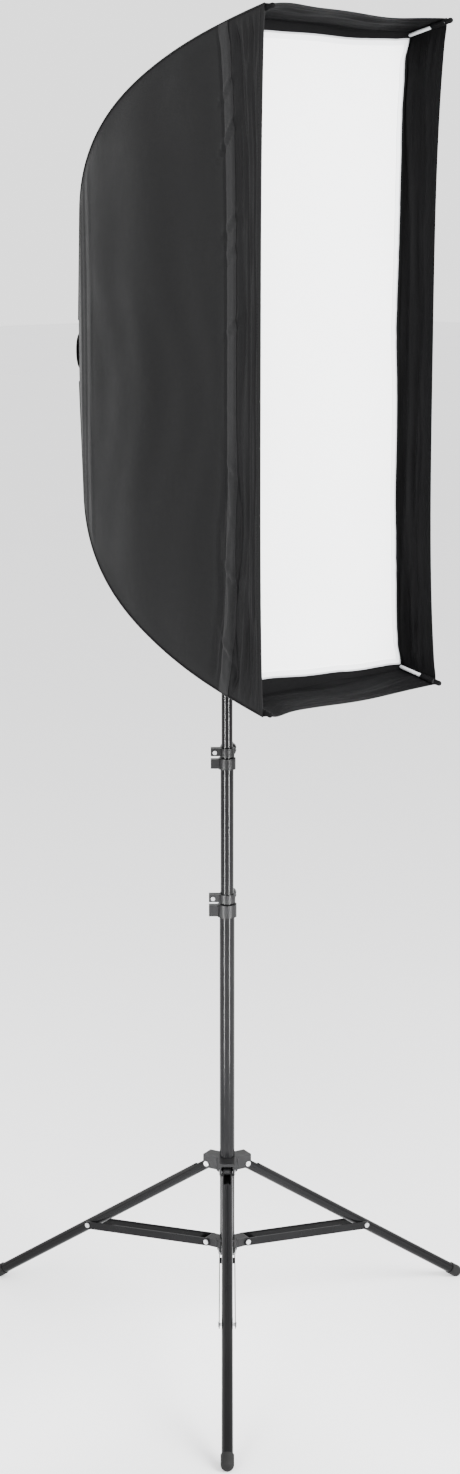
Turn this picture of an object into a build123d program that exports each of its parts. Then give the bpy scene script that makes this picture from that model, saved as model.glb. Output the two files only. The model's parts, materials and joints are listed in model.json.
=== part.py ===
from build123d import *
import os
from math import atan2, cos, degrees, hypot, radians, sin

# Strip softbox on a three-section light stand. Millimetres, +Z up, floor at z = 0.
# The parts are modelled about the stand's pole axis with the diffuser facing -Y.
# save() then moves every part so that the origin is the centre of the footprint.

# Softbox
BOX_WIDTH = 340.0            # front edge to front edge, along X
BOX_HEIGHT = 900.0           # front edge to front edge, along Z
BOX_Z = 1458.0               # height of the box's own axis
FRONT_Y = -246.0             # front plane
FABRIC = 1.2
# The outline of both walls as (share of the half size, depth behind the front plane):
# a flat patch round the hub, a straight run to the elbow, then one cubic curve.
PATCH = (0.10, 543.9)
ELBOW = (0.45, 470.0)
BEND_REAR = (0.76, 404.6)
BEND_FRONT = (0.90, 216.0)
DIFFUSER_SIZE = (316.0, 854.0)
DIFFUSER_RECESS = 57.0
DIFFUSER_HEM = 9.0
DIFFUSER_THICKNESS = (1.2, 1.6, 2.4)     # of the diffuser, the skirt and the hem
SKIRT_SHARE = 0.968          # share of a rib's reach where it passes the diffuser
SKIRT_HOLE = 7.0             # side of the square hole that each rib passes through
SEAM_BAND_DEPTH = (72.0, 91.0)
SEAM_BAND_HEIGHT = 0.9
SLOT_HALF_WIDTH = 16.0       # slot in the bottom panel that the pole passes through
SLOT_HALF_LENGTH = 110.0

# Folding frame inside the box
RIB_INSET = 4.5              # from the box's outer faces to a rib's middle, at the front
RIB_DEPTH_INSET = 9.0
RIB_RADIUS = 2.5
HUB_PIVOT = (15.0, 284.0)    # distance from the shaft's axis, y
RUNNER_PIVOT = (18.0, 115.0)
STRETCHER_REACH = 200.0      # distance from the shaft's axis to the stretcher's outer pin
SHAFT_RADIUS = 4.0
SHAFT_ENDS = (-70.0, 290.0)
HINGE_SLOT = 6.6
HUB_RADIUS = 19.0
RUNNER_RADIUS = 22.0
DISC_HALF = 6.0              # half the thickness of the hub's and the runner's discs
RUNNER_SLEEVE = (9.0, -9.0, 13.0)    # radius, front and rear ends from the runner's pivots
REAR_CAP = (16.0, 2.6, 11.0, 1.4)    # radius and thickness of its flange, then of its crown
REAR_STEM_RADIUS = 4.4
PIN_RADIUS = 1.5
PIN_CLEARANCE = 0.05
ARM_EYE = (4.2, 5.4)         # radius and thickness of the eyes on ribs and stretchers
RIB_NOSE = (3.6, 8.0)        # radius and length of the moulded tips
STRETCHER_BAR = (3.0, 5.4)
FORK_LENGTH = 17.0
FORK_CHEEK = (6.0, 1.2)      # width and thickness
FORK_HALF_GAP = 3.3

# Swivel bracket
TILT_Z = 1434.0
BRACKET_BASE_Z = 1384.0
BRACKET_RADIUS = 15.0
BRACKET_EAR = (2.0, 12.0)    # the base's ear, from and to, along X
HEAD_CHEEK = (-12.0, 1.4)    # the head's cheek beside it
HEAD_BRIDGE = (14.0, 16.0, 12.0)     # half widths along X and Y, top above the shaft's axis
TILT_BOLT_RADIUS = 3.0
KNOB_RADIUS = 12.0           # lock knobs of the bracket and the clamps
SHAFT_SCREW_RADIUS = 8.0
FLUTE_RADIUS = 1.8
SHOE_HALF = (11.0, 10.0)
LEVER_REACH = 48.0

# Stand tubes: outer radius, bottom and top
LOWER_TUBE = (11.0, 134.0, 671.5)
MID_TUBE = (9.5, 315.0, 888.5)
TOP_TUBE = (8.0, 780.0, 1395.0)
TUBE_CLEARANCE = 0.3
TOP_TUBE_WALL = 1.0
BUSH_WALL = 2.0
SPIGOT_RADIUS = 8.0

# Tripod: pivots as (distance from the pole axis, z)
LEG_AZIMUTHS = (-133.6, -13.6, 106.4)
LEG_PIVOT = (29.5, 269.0)
BRACE_PIVOT = (29.5, 145.0)
KNEE = (242.0, 127.0)        # where a brace meets its leg
LEG_RADIUS = 8.0
LEG_WALL = 1.2
LEG_CUT = (26.0, 5.5)        # opening in the top of a leg at the collar: length, half width
BRACE_GAP = 21.2
BRACE_HEIGHT = 12.0
BRACE_WALL = 1.3
BRACE_WEB = (11.0, 27.0)     # the bridge that joins a brace's two flat bars: start, end
RIVET_RADIUS = 2.5
RIVET_HEAD = (3.8, 1.2)      # radius, thickness
ARM_GAP = 16.8
ARM_WALL = 2.6
ARM_TOP = 14.5               # from the leg's pivot to the top of the collar
HINGE_RADIUS = 6.0           # round ends of the collars' arms and lugs
LEG_COLLAR_RADIUS = 16.0
BRACE_COLLAR_RADIUS = 15.0
CAP_LENGTH = 14.0
CAP_SKIN = 1.3
CAP_FLAT = 1.2               # how far the cap's round end is cut back where it meets the floor

# Tube clamps: bottom, level of the split, top, reach of the ears
LOWER_CLAMP = (653.0, 673.0, 687.0, 26.5)
UPPER_CLAMP = (873.0, 890.0, 904.0, 23.5)
CLAMP_SLEEVE_WALL = 3.0
CLAMP_RING_WALL = 2.7
BOLT_RADIUS = 2.0
BOLT_INSET = 6.0             # from the ears' end to the bolt's middle
CLAMP_EAR_AZIMUTH = 136.4
CLAMP_KNOB_AZIMUTH = 42.0
CLAMP_EAR_HALF = 5.5
CLAMP_EAR_GAP = 5.0          # between the split ears and the solid ones below them
CLAMP_SLOT = 2.4

LEG_SLOPE = degrees(atan2(LEG_PIVOT[1] - KNEE[1], KNEE[0] - LEG_PIVOT[0]))
BRACE_SLOPE = degrees(atan2(BRACE_PIVOT[1] - KNEE[1], KNEE[0] - BRACE_PIVOT[0]))
BRACE_LENGTH = hypot(BRACE_PIVOT[1] - KNEE[1], KNEE[0] - BRACE_PIVOT[0])
CAP_RADIUS = LEG_RADIUS + CAP_SKIN
LEG_LENGTH = (LEG_PIVOT[1] - CAP_RADIUS + CAP_FLAT) / sin(radians(LEG_SLOPE))

UP = (Align.CENTER, Align.CENTER, Align.MIN)
FAR = 400.0                  # past every part of the box, for the solids that cut it


def save(name, shape):
    """Write one part about the centre of the footprint."""
    export_step(Pos(-FOOTPRINT.X, -FOOTPRINT.Y, 0) * shape, f"parts/{name}.step")


def rod(start, direction, radius, length):
    """A solid cylinder from a point along a direction."""
    return Plane(origin=start, z_dir=direction) * Cylinder(radius, length, align=UP)


def upright(radius, bottom, top):
    """A solid cylinder on the pole axis."""
    return rod((0, 0, bottom), (0, 0, 1), radius, top - bottom)


def block(low, high):
    """A box between two opposite corners."""
    size = [b - a for a, b in zip(low, high)]
    return Pos(*low) * Box(*size, align=(Align.MIN, Align.MIN, Align.MIN))


# ---------------------------------------------------------------- fabric

def wall_outline(half_size, inset, overrun):
    """Half outline of a wall as a face in (across, y), mirrored about across = 0."""
    depth_scale = 1 - inset / PATCH[1]

    def at(point):
        return ((half_size - inset) * point[0], FRONT_Y + point[1] * depth_scale)

    front = at((1.0, 0.0))
    nose = (front[0], FRONT_Y - overrun)
    curve = Bezier(at(ELBOW), at(BEND_REAR), at(BEND_FRONT), front)
    spine = (0, at(PATCH)[1])
    edges = [Line(spine, at(PATCH)), Line(at(PATCH), at(ELBOW)), curve]
    if overrun:
        edges.append(Line(front, nose))
    edges.append(Line(nose, (0, nose[1])))
    edges.append(Line((0, nose[1]), spine))
    half = make_face(edges)
    return half + mirror(half, Plane.YZ)


def plan_prism(inset, overrun=0.0):
    """The box's plan outline carried over more than its full height."""
    face = wall_outline(BOX_WIDTH / 2, inset, overrun)
    return Pos(0, 0, BOX_Z - BOX_HEIGHT) * extrude(face, 2 * BOX_HEIGHT, dir=(0, 0, 1))


def side_prism(inset, overrun=0.0):
    """The box's side outline carried over more than its full width."""
    face = wall_outline(BOX_HEIGHT / 2, inset, overrun)
    prism = extrude(face, BOX_WIDTH, dir=(0, 0, 1), both=True)
    return Pos(0, 0, BOX_Z) * Rot(0, -90, 0) * prism


def fabric_parts():
    """Four wall panels, the sewn band round them, and the diffuser with its hem."""
    plan_out, plan_in = plan_prism(0), plan_prism(FABRIC, 1.0)
    side_out, side_in = side_prism(0), side_prism(FABRIC, 1.0)
    whole = plan_out & side_out
    hub_hole = rod((0, 0, BOX_Z), (0, 1, 0), 5.0, FAR)
    side_walls = whole - plan_in - hub_hole
    end_walls = (side_out - side_in) & plan_in
    over = BOX_Z + BOX_HEIGHT
    end_walls = end_walls & block((-FAR, FRONT_Y, 0), (FAR, FAR, over))

    right = block((0, -FAR, 0), (FAR, FAR, over))
    left = block((-FAR, -FAR, 0), (0, FAR, over))
    upper = block((-FAR, -FAR, BOX_Z), (FAR, FAR, over))
    lower = block((-FAR, -FAR, 0), (FAR, FAR, BOX_Z))
    slot = extrude(SlotOverall(2 * SLOT_HALF_LENGTH, 2 * SLOT_HALF_WIDTH, rotation=90), BOX_Z)
    save("left_panel", side_walls & left)
    save("right_panel", side_walls & right)
    save("top_panel", end_walls & upper)
    save("bottom_panel", (end_walls & lower) - slot)

    band_front, band_rear = (FRONT_Y + depth for depth in SEAM_BAND_DEPTH)
    belt = block((-FAR, band_front, 0), (FAR, band_rear, over))
    raised = plan_prism(-SEAM_BAND_HEIGHT) & side_prism(-SEAM_BAND_HEIGHT) & belt
    save("seam_band", (raised - plan_out) + ((raised - side_out) & plan_out))

    save_diffuser(plan_in & side_in)


def save_diffuser(inside):
    """The recessed front and its hem, whose skirt joins the walls and leaves room for the ribs."""
    def sheet(width, height, thickness, y):
        return Pos(0, y, BOX_Z) * Box(width, thickness, height)

    width, height = DIFFUSER_SIZE
    pane_thickness, skirt_thickness, hem_thickness = DIFFUSER_THICKNESS
    y = FRONT_Y + DIFFUSER_RECESS
    hem = sheet(width, height, hem_thickness, y)
    window = (width - 2 * DIFFUSER_HEM, height - 2 * DIFFUSER_HEM)
    save("diffuser", sheet(*window, pane_thickness, y))
    skirt = sheet(BOX_WIDTH, BOX_HEIGHT, skirt_thickness, y)
    for side in RIB_SIDES.values():
        x = side[0] * SKIRT_SHARE * (BOX_WIDTH / 2 - RIB_INSET)
        z = side[1] * SKIRT_SHARE * (BOX_HEIGHT / 2 - RIB_INSET)
        skirt = skirt - Pos(x, y, BOX_Z + z) * Box(SKIRT_HOLE, hem_thickness, SKIRT_HOLE)
    border = hem - sheet(*window, hem_thickness, y)
    save("diffuser_hem", border + ((skirt & inside) - hem))


# ---------------------------------------------------------------- folding frame

RIB_REACH = hypot(BOX_WIDTH / 2 - RIB_INSET, BOX_HEIGHT / 2 - RIB_INSET)
RIB_SIDES = {"upper_left": (-1, 1), "upper_right": (1, 1),
             "lower_left": (-1, -1), "lower_right": (1, -1)}


def rib_plane(side):
    """Working plane of one rib: x away from the shaft, y along the shaft, z across."""
    dx = side[0] * (BOX_WIDTH / 2 - RIB_INSET) / RIB_REACH
    dz = side[1] * (BOX_HEIGHT / 2 - RIB_INSET) / RIB_REACH
    return Plane(origin=(0, 0, BOX_Z), x_dir=(dx, 0, dz), z_dir=(-dz, 0, dx))


def rib_point(share):
    """A point of the rib's curve, as (distance from the shaft's axis, y)."""
    corners = [ELBOW, BEND_REAR, BEND_FRONT, (1.0, -2.0)]
    weights = [(1 - share) ** 3, 3 * share * (1 - share) ** 2,
               3 * share ** 2 * (1 - share), share ** 3]
    reach = sum(w * p[0] for w, p in zip(weights, corners)) * RIB_REACH
    depth = sum(w * p[1] for w, p in zip(weights, corners))
    return reach, FRONT_Y + depth - RIB_DEPTH_INSET * (1 - share ** 3)


def stretcher_pin():
    """Where a stretcher meets its rib, on the rib's straight run."""
    elbow = rib_point(0)
    share = (STRETCHER_REACH - HUB_PIVOT[0]) / (elbow[0] - HUB_PIVOT[0])
    return STRETCHER_REACH, HUB_PIVOT[1] + share * (elbow[1] - HUB_PIVOT[1])


def eye(centre, radius, thickness):
    """A flat round eye across the working plane, with a hole for its pin."""
    disc = Cylinder(radius, thickness) - Cylinder(PIN_RADIUS + PIN_CLEARANCE, thickness)
    return Pos(centre[0], centre[1], 0) * disc


def rib():
    """One rib: an eye at the hub, a straight run to the elbow and a bowed rod to its tip."""
    steps = [0.0, 0.2, 0.4, 0.6, 0.8, 1.0]
    points = [HUB_PIVOT] + [rib_point(s) for s in steps]
    turns = []
    for before, here, after in zip(points, points[1:], points[2:]):
        run_in = hypot(here[0] - before[0], here[1] - before[1])
        run_out = hypot(after[0] - here[0], after[1] - here[1])
        turn = abs(atan2(after[1] - here[1], after[0] - here[0])
                   - atan2(here[1] - before[1], here[0] - before[0]))
        turns.append(0.45 * min(run_in, run_out) / (sin(turn / 2) / cos(turn / 2)))
    path = FilletPolyline(*points, radius=turns)
    bar = sweep(Plane(origin=path @ 0, z_dir=path % 0) * Circle(RIB_RADIUS), path=path)
    bar = bar - Pos(*HUB_PIVOT, 0) * Cylinder(PIN_RADIUS + PIN_CLEARANCE, 20)
    return bar + eye(HUB_PIVOT, *ARM_EYE)


def rib_tip():
    """Moulded cap pushed over the rib's front end, with a rounded nose."""
    tip = rib_point(1)
    inner = rib_point(0.97)
    direction = (tip[0] - inner[0], tip[1] - inner[1], 0)
    place = Plane(origin=(tip[0], tip[1], 0), z_dir=direction)
    radius, length = RIB_NOSE
    return place * (Cylinder(radius, length, align=UP) + Pos(0, 0, length) * Sphere(radius))


def stretcher():
    """Strut from the runner to the rib, forked where it straddles the rib."""
    outer = stretcher_pin()
    run = (outer[0] - RUNNER_PIVOT[0], outer[1] - RUNNER_PIVOT[1])
    length = hypot(*run)
    fork_start = length - FORK_LENGTH
    from_end = (Align.MIN, Align.CENTER, Align.CENTER)
    cheek_width, cheek_thickness = FORK_CHEEK
    cheek_z = FORK_HALF_GAP + cheek_thickness / 2
    bar = Pos(4, 0, 0) * Box(fork_start - 1, *STRETCHER_BAR, align=from_end)
    bridge = Pos(fork_start, 0, 0) * Box(5, 5, 2 * (FORK_HALF_GAP + cheek_thickness))
    cheek = Box(FORK_LENGTH, cheek_width, cheek_thickness, align=from_end)
    cheek = cheek + Pos(FORK_LENGTH, 0, 0) * Cylinder(cheek_width / 2, cheek_thickness)
    strut = bar + bridge + eye((0, 0), *ARM_EYE)
    for sign in (-1, 1):
        strut = strut + Pos(fork_start, 0, sign * cheek_z) * cheek
        strut = strut + Pos(length, 0, sign * (cheek_z + 1)) * Cylinder(2.2, 0.8)
    strut = strut - Cylinder(PIN_RADIUS + PIN_CLEARANCE, 20)
    angle = degrees(atan2(run[1], run[0]))
    return Pos(*RUNNER_PIVOT, 0) * Rot(0, 0, angle) * strut


def hinge_disc(radius, bore, pivot):
    """A round hub on the shaft with a slot and a pin hole for each of its four arms."""
    front = pivot[1] - DISC_HALF
    disc = rod((0, front, BOX_Z), (0, 1, 0), radius, 2 * DISC_HALF)
    disc = disc - rod((0, front - 1, BOX_Z), (0, 1, 0), bore, 2 * DISC_HALF + 2)
    for side in RIB_SIDES.values():
        cut = Pos(pivot[0] + 12, pivot[1], 0) * Box(35, 40, HINGE_SLOT)
        hole = Pos(*pivot, 0) * Cylinder(PIN_RADIUS, 40)
        disc = disc - rib_plane(side) * (cut + hole)
    return disc


def hinge_pins(pivot, length):
    """The four pins of a hub, as one group."""
    pins = [rib_plane(side) * Pos(*pivot, 0) * Cylinder(PIN_RADIUS, length)
            for side in RIB_SIDES.values()]
    return Compound(children=pins)


def frame_parts():
    """Shaft, rear hub with its outside cap, runner, ribs, rib tips and stretchers."""
    shaft = rod((0, SHAFT_ENDS[0], BOX_Z), (0, 1, 0), SHAFT_RADIUS, SHAFT_ENDS[1] - SHAFT_ENDS[0])
    save("shaft", shaft - rod((0, SHAFT_ENDS[0], BOX_Z), (0, 1, 0), SHAFT_RADIUS - 1, 340))
    save("rear_hub", hinge_disc(HUB_RADIUS, SHAFT_RADIUS, HUB_PIVOT))
    save("rear_hub_pins", hinge_pins(HUB_PIVOT, 11))
    flange_radius, flange, crown_radius, crown = REAR_CAP
    outside = FRONT_Y + PATCH[1] + 0.3
    cap = rod((0, outside, BOX_Z), (0, 1, 0), flange_radius, flange)
    cap = cap + rod((0, outside + flange, BOX_Z), (0, 1, 0), crown_radius, crown)
    stem_start = SHAFT_ENDS[1]
    stem = rod((0, stem_start, BOX_Z), (0, 1, 0), REAR_STEM_RADIUS, outside + 1 - stem_start)
    save("rear_cap", cap + stem)

    bore = SHAFT_RADIUS + TUBE_CLEARANCE
    sleeve_radius, front, rear = RUNNER_SLEEVE
    sleeve = rod((0, RUNNER_PIVOT[1] + front, BOX_Z), (0, 1, 0), sleeve_radius, rear - front)
    runner = hinge_disc(RUNNER_RADIUS, bore, RUNNER_PIVOT) + sleeve
    save("runner", runner - rod((0, RUNNER_PIVOT[1] - 40, BOX_Z), (0, 1, 0), bore, 80))
    save("runner_pins", hinge_pins(RUNNER_PIVOT, 12))
    for name, side in RIB_SIDES.items():
        plane = rib_plane(side)
        tip = rib_tip()
        save(f"rib_{name}", plane * (rib() - tip))
        save(f"rib_tip_{name}", plane * tip)
        save(f"stretcher_{name}", plane * stretcher())


# ---------------------------------------------------------------- swivel bracket

def grip_knob(radius, depth, stud_radius, stud_length):
    """A fluted knob along +Z from its stud's tip at the origin."""
    body = Pos(0, 0, stud_length) * Cylinder(radius, depth, align=UP)
    body = fillet(body.edges().filter_by(GeomType.CIRCLE), 1.5)
    for k in range(8):
        flute = Pos(radius + 0.7, 0, stud_length) * Cylinder(FLUTE_RADIUS, depth, align=UP)
        body = body - Rot(0, 0, 45 * k) * flute
    return body + Cylinder(stud_radius, stud_length + 1, align=UP)


def bracket_parts():
    """Socket on the spigot, tilting head with the shaft's bore, shoe, knobs and lever."""
    socket = upright(BRACKET_RADIUS, BRACKET_BASE_Z, TILT_Z - 16)
    inner, outer = BRACKET_EAR
    ear = rod((inner, 0, TILT_Z), (1, 0, 0), BRACKET_RADIUS, outer - inner)
    ear = ear + block((inner, -13, TILT_Z - 20), (outer, 13, TILT_Z))
    base = socket + ear - upright(SPIGOT_RADIUS + 0.2, BRACKET_BASE_Z, TILT_Z - 20)
    knob_z = BRACKET_BASE_Z + 14
    base = base - rod((-8, 0, knob_z), (-1, 0, 0), 3.2, 20)
    base = base - rod((0, 0, TILT_Z), (1, 0, 0), TILT_BOLT_RADIUS, 20)
    save("bracket_base", base)
    knob = grip_knob(KNOB_RADIUS, 9, 3.0, 11)
    save("bracket_knob", Plane(origin=(-8.5, 0, knob_z), z_dir=(-1, 0, 0)) * knob)
    bolt = rod((-14, 0, TILT_Z), (1, 0, 0), TILT_BOLT_RADIUS, 33)
    save("tilt_bolt", bolt + rod((-16, 0, TILT_Z), (1, 0, 0), 5.5, 3))

    start, end = HEAD_CHEEK
    half_x, half_y, above = HEAD_BRIDGE
    disc = rod((start, 0, TILT_Z), (1, 0, 0), BRACKET_RADIUS, end - start)
    neck = block((start, -BRACKET_RADIUS, TILT_Z), (end, BRACKET_RADIUS, BOX_Z))
    bridge = block((-half_x, -half_y, TILT_Z + 16), (half_x, half_y, BOX_Z + above))
    head = disc + neck + bridge
    head = head - rod((0, -30, BOX_Z), (0, 1, 0), SHAFT_RADIUS + 0.05, 60)
    head = head - rod((-20, 0, TILT_Z), (1, 0, 0), TILT_BOLT_RADIUS + 0.1, 30)
    head = head - rod((-20, 0, BOX_Z), (1, 0, 0), 2.7, 18)
    save("bracket_head", head)
    screw = grip_knob(SHAFT_SCREW_RADIUS, 7, 2.5, 11)
    save("shaft_screw", Plane(origin=(-4.5, 0, BOX_Z), z_dir=(-1, 0, 0)) * screw)

    save("cold_shoe", cold_shoe(BOX_Z + above))

    hub = rod((16.6, 0, TILT_Z), (1, 0, 0), 8, 9) - rod((10, 0, TILT_Z), (1, 0, 0), 3.1, 10)
    arm = block((18, 6, TILT_Z - 4), (24, LEVER_REACH, TILT_Z + 4))
    save("tilt_lever", hub + arm + rod((18, LEVER_REACH, TILT_Z), (1, 0, 0), 4, 6))


def cold_shoe(base):
    """Plate with two rails that a flash's foot slides under."""
    half_x, half_y = SHOE_HALF
    shoe = block((-half_x, -half_y, base), (half_x, half_y, base + 2))
    rail = block((9.4, -half_y, base + 2), (half_x, half_y, base + 6))
    rail = rail + block((6.2, -half_y, base + 4.4), (half_x, half_y, base + 6))
    return shoe + rail + mirror(rail, Plane.YZ)


# ---------------------------------------------------------------- tubes and clamps

def clamp(outer, inner, levels):
    """Moulded clamp: a sleeve on the outer tube and a split ring round the inner tube."""
    bottom, slot_z, top, reach = levels
    sleeve_radius, ring_radius = outer + CLAMP_SLEEVE_WALL, inner + CLAMP_RING_WALL
    slot, ear_half = CLAMP_SLOT, CLAMP_EAR_HALF
    sleeve = upright(sleeve_radius, bottom, slot_z - slot / 2)
    ring = upright(ring_radius, slot_z + slot / 2, top)
    ears = block((0, -ear_half, slot_z + CLAMP_EAR_GAP / 2), (reach, ear_half, top))
    foot = block((0, -ear_half, bottom + 1), (reach, ear_half, slot_z - CLAMP_EAR_GAP / 2))
    sides = Rot(0, 0, CLAMP_EAR_AZIMUTH) * (ears + foot)
    bridge = block((inner + 1, -7, slot_z - slot), (ring_radius, 7, slot_z + slot))
    boss_z = (slot_z + top) / 2 + 0.6
    boss = rod((0, 0, boss_z), (1, 0, 0), 5.4, inner + 8)
    rear = Rot(0, 0, CLAMP_KNOB_AZIMUTH) * (bridge + boss)
    body = sleeve + ring + sides + rear
    slit = Rot(0, 0, CLAMP_EAR_AZIMUTH) * block((0, -0.8, slot_z - 1), (reach + 1, 0.8, top + 1))
    hole = rod((reach - BOLT_INSET, -20, boss_z), (0, 1, 0), BOLT_RADIUS, 40)
    hole = Rot(0, 0, CLAMP_EAR_AZIMUTH) * hole
    thread = Rot(0, 0, CLAMP_KNOB_AZIMUTH) * rod((0, 0, boss_z), (1, 0, 0), 3.2, 40)
    body = body - upright(outer, bottom, slot_z - slot / 2)
    body = body - upright(inner + TUBE_CLEARANCE, bottom, top)
    return body - slit - hole - thread, boss_z


def clamp_bolt(reach, boss_z):
    """Round-headed pinch bolt through the clamp's ears, with its nut."""
    half, x = CLAMP_EAR_HALF, reach - BOLT_INSET
    shank = rod((x, -half - 1, boss_z), (0, 1, 0), BOLT_RADIUS, 2 * half + 2)
    nut = Plane(origin=(x, -half - 2.5, boss_z), z_dir=(0, 1, 0))
    nut = nut * extrude(RegularPolygon(3.8, 6), 2.5)
    head = rod((x, half, boss_z), (0, 1, 0), 3.0, 1.6)
    head = head + rod((x, half + 1.6, boss_z), (0, 1, 0), 2.2, 0.7)
    return Rot(0, 0, CLAMP_EAR_AZIMUTH) * (shank + nut + head)


def clamp_knob(inner, boss_z):
    """Lock knob whose stud bears on the inner tube."""
    place = Plane(origin=(inner + TUBE_CLEARANCE, 0, boss_z), z_dir=(1, 0, 0))
    return Rot(0, 0, CLAMP_KNOB_AZIMUTH) * (place * grip_knob(KNOB_RADIUS, 8, 3.0, 10))


def hollow(tube, wall):
    """One stand tube."""
    radius, bottom, top = tube
    return upright(radius, bottom, top) - upright(radius - wall, bottom, top)


def column_parts():
    """Three telescoping tubes, their guide bushes, two clamps and the spigot."""
    lower_wall = LOWER_TUBE[0] - MID_TUBE[0] - TUBE_CLEARANCE
    mid_wall = MID_TUBE[0] - TOP_TUBE[0] - TUBE_CLEARANCE
    save("lower_tube", hollow(LOWER_TUBE, lower_wall))
    save("mid_tube", hollow(MID_TUBE, mid_wall))
    save("top_tube", hollow(TOP_TUBE, TOP_TUBE_WALL))
    save("mid_tube_bush", bush(MID_TUBE, mid_wall))
    save("top_tube_bush", bush(TOP_TUBE, TOP_TUBE_WALL))
    for name, outer, inner, levels in (("lower", LOWER_TUBE[0], MID_TUBE[0], LOWER_CLAMP),
                                       ("upper", MID_TUBE[0], TOP_TUBE[0], UPPER_CLAMP)):
        body, boss_z = clamp(outer, inner, levels)
        save(f"{name}_clamp", body)
        save(f"{name}_clamp_bolt", clamp_bolt(levels[3], boss_z))
        save(f"{name}_clamp_knob", clamp_knob(inner, boss_z))
    top = TOP_TUBE[2]
    spigot = upright(TOP_TUBE[0] - TOP_TUBE_WALL, top - 20, top)
    spigot = spigot + upright(SPIGOT_RADIUS, top, top + 10)
    save("spigot", spigot + upright(3.1, top + 10, top + 18))


def bush(tube, wall):
    """Guide bush at the foot of a sliding tube."""
    radius, bottom = tube[0], tube[1]
    plug = upright(radius + 0.2, bottom - 4, bottom) + upright(radius - wall, bottom, bottom + 12)
    return plug - upright(radius - wall - BUSH_WALL, bottom - 4, bottom + 12)


# ---------------------------------------------------------------- tripod

def across(radius, reach, z, low, high):
    """A cylinder across a leg, at a distance from the pole axis."""
    return rod((reach, low, z), (0, 1, 0), radius, high - low)


def around(shape):
    """The shape repeated at each leg."""
    return [Rot(0, 0, azimuth) * shape for azimuth in LEG_AZIMUTHS]


def rivet(reach, z, half_width):
    """Rivet across a hinge, with a flat head at each end."""
    head_radius, head = RIVET_HEAD
    pin = across(RIVET_RADIUS, reach, z, -half_width, half_width)
    pin = pin + across(head_radius, reach, z, half_width, half_width + head)
    return pin + across(head_radius, reach, z, -half_width - head, -half_width)


def leg_collar():
    """Sliding collar with three hooded arms that hold the legs."""
    reach, z = LEG_PIVOT
    half = ARM_GAP / 2
    outer = half + ARM_WALL
    arm = block((8, -outer, z - HINGE_RADIUS), (reach, outer, z + ARM_TOP))
    arm = arm + across(HINGE_RADIUS, reach, z, -outer, outer)
    arm = arm + block((reach - 5, -outer, z), (reach + 5.5, outer, z + ARM_TOP))
    room = block((17, -half, z - 20), (reach + 20, half, z + ARM_TOP - 4))
    arm = arm - room - across(RIVET_RADIUS, reach, z, -20, 20)
    body = upright(LEG_COLLAR_RADIUS, z - 7, z + ARM_TOP)
    for piece in around(arm):
        body = body + piece
    for piece in around(room):
        body = body - piece
    return body - upright(LOWER_TUBE[0] + TUBE_CLEARANCE, z - 10, z + 30)


def brace_collar():
    """Fixed collar at the foot of the lower tube with three lugs that hold the braces."""
    reach, z = BRACE_PIVOT
    half = BRACE_GAP / 2 - 0.4
    lug = block((8, -half, z - HINGE_RADIUS), (reach, half, z + 6.5))
    lug = lug + across(HINGE_RADIUS, reach, z, -half, half)
    lug = lug - across(RIVET_RADIUS, reach, z, -20, 20)
    body = upright(BRACE_COLLAR_RADIUS, z - 9, z + 10)
    for piece in around(lug):
        body = body + piece
    return body - upright(LOWER_TUBE[0], LOWER_TUBE[1], z + 30)


def along_leg(radius, start, end):
    """A cylinder along a leg, with x measured from the leg's pivot."""
    return rod((start, 0, 0), (1, 0, 0), radius, end - start)


def leg():
    """Tube leg with a rounded end, cut open above at the collar."""
    tube = along_leg(LEG_RADIUS, 0, LEG_LENGTH)
    tube = tube + (along_leg(LEG_RADIUS, -LEG_RADIUS, 0) & across(LEG_RADIUS, 0, 0, -9, 9))
    tube = tube - along_leg(LEG_RADIUS - LEG_WALL, -LEG_RADIUS, LEG_LENGTH)
    length, half = LEG_CUT
    tube = tube - block((-20, -half, 0), (length, half, 20))
    tube = tube - across(RIVET_RADIUS + 0.1, 0, 0, -20, 20)
    return Pos(LEG_PIVOT[0], 0, LEG_PIVOT[1]) * Rot(0, LEG_SLOPE, 0) * tube


def foot_cap():
    """Round rubber cap over the leg's end, flat where it meets the floor."""
    cap = along_leg(CAP_RADIUS, LEG_LENGTH - CAP_LENGTH, LEG_LENGTH)
    cap = cap + Pos(LEG_LENGTH, 0, 0) * Sphere(CAP_RADIUS)
    cap = cap - along_leg(LEG_RADIUS, LEG_LENGTH - CAP_LENGTH - 1, LEG_LENGTH)
    cap = Pos(LEG_PIVOT[0], 0, LEG_PIVOT[1]) * Rot(0, LEG_SLOPE, 0) * cap
    return cap & block((0, -50, 0), (600, 50, 100))


def brace():
    """Two flat bars, joined by a bridge near the pole, that straddle the lug and the leg."""
    half, radius = BRACE_GAP / 2, BRACE_HEIGHT / 2
    outer = half + BRACE_WALL
    bar = block((0, -outer, -radius), (BRACE_LENGTH, outer, radius))
    bar = bar + across(radius, 0, 0, -outer, outer) + across(radius, BRACE_LENGTH, 0, -outer, outer)
    bar = bar - block((-20, -half, -20), (BRACE_WEB[0], half, 20))
    bar = bar - block((BRACE_WEB[1], -half, -20), (BRACE_LENGTH + 20, half, 20))
    bar = bar - block((-20, -half, BRACE_WALL - radius), (BRACE_LENGTH + 20, half, 20))
    bar = bar - across(RIVET_RADIUS + 0.1, 0, 0, -20, 20)
    bar = bar - across(RIVET_RADIUS, BRACE_LENGTH, 0, -20, 20)
    return Pos(BRACE_PIVOT[0], 0, BRACE_PIVOT[1]) * Rot(0, BRACE_SLOPE, 0) * bar


def brace_rivet():
    """The two rivet ends at the knee, held in the brace's walls and clear of the leg."""
    half = BRACE_GAP / 2
    pair = rivet(KNEE[0], KNEE[1], half + BRACE_WALL)
    leg_room = LEG_RADIUS + 0.3
    return pair - block((0, -leg_room, 0), (400, leg_room, 400))


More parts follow.
